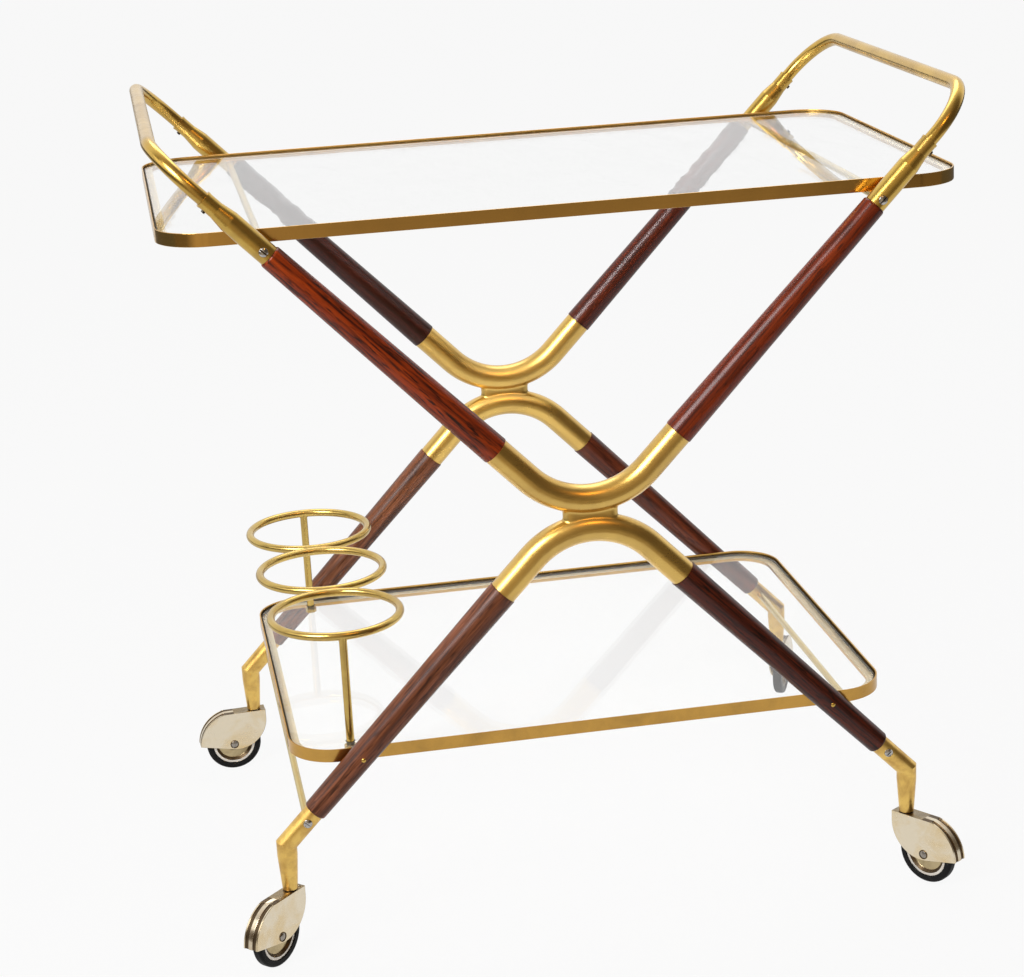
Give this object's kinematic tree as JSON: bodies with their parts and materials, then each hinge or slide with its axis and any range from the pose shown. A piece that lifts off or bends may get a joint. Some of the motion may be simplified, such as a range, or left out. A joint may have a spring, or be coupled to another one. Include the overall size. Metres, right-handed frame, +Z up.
{
  "type": "bar cart",
  "caption": "Bar cart with crossed wood and brass side frames, glass trays above and below, end handles, a row of bottle rings and hooded swivel casters.",
  "frame": {"origin": "on the floor under the middle of the cart's bounding box", "axes": "+X along the cart's length away from the bottle rings, +Y across the cart to its far side, +Z up"},
  "size_m": [0.6852, 0.5266, 0.7081],
  "materials": {
    "mahogany": "satin varnished red-brown wood with dark straight grain",
    "satin_brass": "brushed satin",
    "polished_brass": "polished",
    "aged_brass": "brushed, with brown patina",
    "tray_glass": "clear with a green edge",
    "nickel": "worn nickel plate over brass",
    "screw_steel": "dull steel",
    "dark_steel": "darkened steel",
    "black_rubber": "matt"
  },
  "bodies": {
    "frame": {"back_bottle_ring": "polished_brass", "back_left_elbow": "aged_brass", "back_left_ferrule": "polished_brass", "back_left_lower_rod": "mahogany", "back_left_upper_rod": "mahogany", "back_lower_bend": "satin_brass", "back_right_elbow": "aged_brass", "back_right_ferrule": "polished_brass", "back_right_lower_rod": "mahogany", "back_right_upper_rod": "mahogany", "back_saddle": "satin_brass", "back_upper_bend": "satin_brass", "bottle_posts": "polished_brass", "front_bottle_ring": "polished_brass", "front_left_elbow": "aged_brass", "front_left_ferrule": "polished_brass", "front_left_lower_rod": "mahogany", "front_left_upper_rod": "mahogany", "front_lower_bend": "satin_brass", "front_right_elbow": "aged_brass", "front_right_ferrule": "polished_brass", "front_right_lower_rod": "mahogany", "front_right_upper_rod": "mahogany", "front_saddle": "satin_brass", "front_upper_bend": "satin_brass", "handle_set_screws": "dark_steel", "left_handle": "polished_brass", "left_lower_stretcher": "aged_brass", "left_upper_stretcher": "aged_brass", "lower_glass": "tray_glass", "lower_rim": "aged_brass", "lower_tray_pins": "polished_brass", "middle_bottle_ring": "polished_brass", "right_handle": "polished_brass", "right_lower_stretcher": "aged_brass", "right_upper_stretcher": "aged_brass", "stretcher_screws": "screw_steel", "top_glass": "tray_glass", "top_rim": "aged_brass"},
    "front_left_swivel": {"front_left_caster_hood": "nickel", "front_left_caster_stem": "dark_steel", "front_left_caster_axle": "nickel"},
    "front_left_wheel": {"front_left_wheel_disc": "nickel", "front_left_tyre": "black_rubber"},
    "front_right_swivel": {"front_right_caster_hood": "nickel", "front_right_caster_stem": "dark_steel", "front_right_caster_axle": "nickel"},
    "front_right_wheel": {"front_right_wheel_disc": "nickel", "front_right_tyre": "black_rubber"},
    "back_left_swivel": {"back_left_caster_hood": "nickel", "back_left_caster_stem": "dark_steel", "back_left_caster_axle": "nickel"},
    "back_left_wheel": {"back_left_wheel_disc": "nickel", "back_left_tyre": "black_rubber"},
    "back_right_swivel": {"back_right_caster_hood": "nickel", "back_right_caster_stem": "dark_steel", "back_right_caster_axle": "nickel"},
    "back_right_wheel": {"back_right_wheel_disc": "nickel", "back_right_tyre": "black_rubber"}
  },
  "joints": [
    {"name": "front_left_swivel_turn", "type": "hinge", "parent": "frame", "child": "front_left_swivel", "pos_m": [-0.27698, -0.21, 0.0609], "axis": [0, 0, 1], "continuous": true},
    {"name": "front_left_wheel_spin", "type": "hinge", "parent": "front_left_swivel", "child": "front_left_wheel", "pos_m": [-0.2933, -0.2269, 0.0275], "axis": [0.7193, -0.6947, 0], "continuous": true},
    {"name": "front_right_swivel_turn", "type": "hinge", "parent": "frame", "child": "front_right_swivel", "pos_m": [0.27698, -0.21, 0.0609], "axis": [0, 0, 1], "continuous": true},
    {"name": "front_right_wheel_spin", "type": "hinge", "parent": "front_right_swivel", "child": "front_right_wheel", "pos_m": [0.29046, -0.22925, 0.0275], "axis": [0.8192, 0.5736, 0], "continuous": true},
    {"name": "back_left_swivel_turn", "type": "hinge", "parent": "frame", "child": "back_left_swivel", "pos_m": [-0.27698, 0.21, 0.0609], "axis": [0, 0, 1], "continuous": true},
    {"name": "back_left_wheel_spin", "type": "hinge", "parent": "back_left_swivel", "child": "back_left_wheel", "pos_m": [-0.30042, 0.20836, 0.0275], "axis": [0.0698, -0.9976, 0], "continuous": true},
    {"name": "back_right_swivel_turn", "type": "hinge", "parent": "frame", "child": "back_right_swivel", "pos_m": [0.27698, 0.21, 0.0609], "axis": [0, 0, 1], "continuous": true},
    {"name": "back_right_wheel_spin", "type": "hinge", "parent": "back_right_swivel", "child": "back_right_wheel", "pos_m": [0.28728, 0.23112, 0.0275], "axis": [-0.8988, 0.4384, 0], "continuous": true}
  ]
}
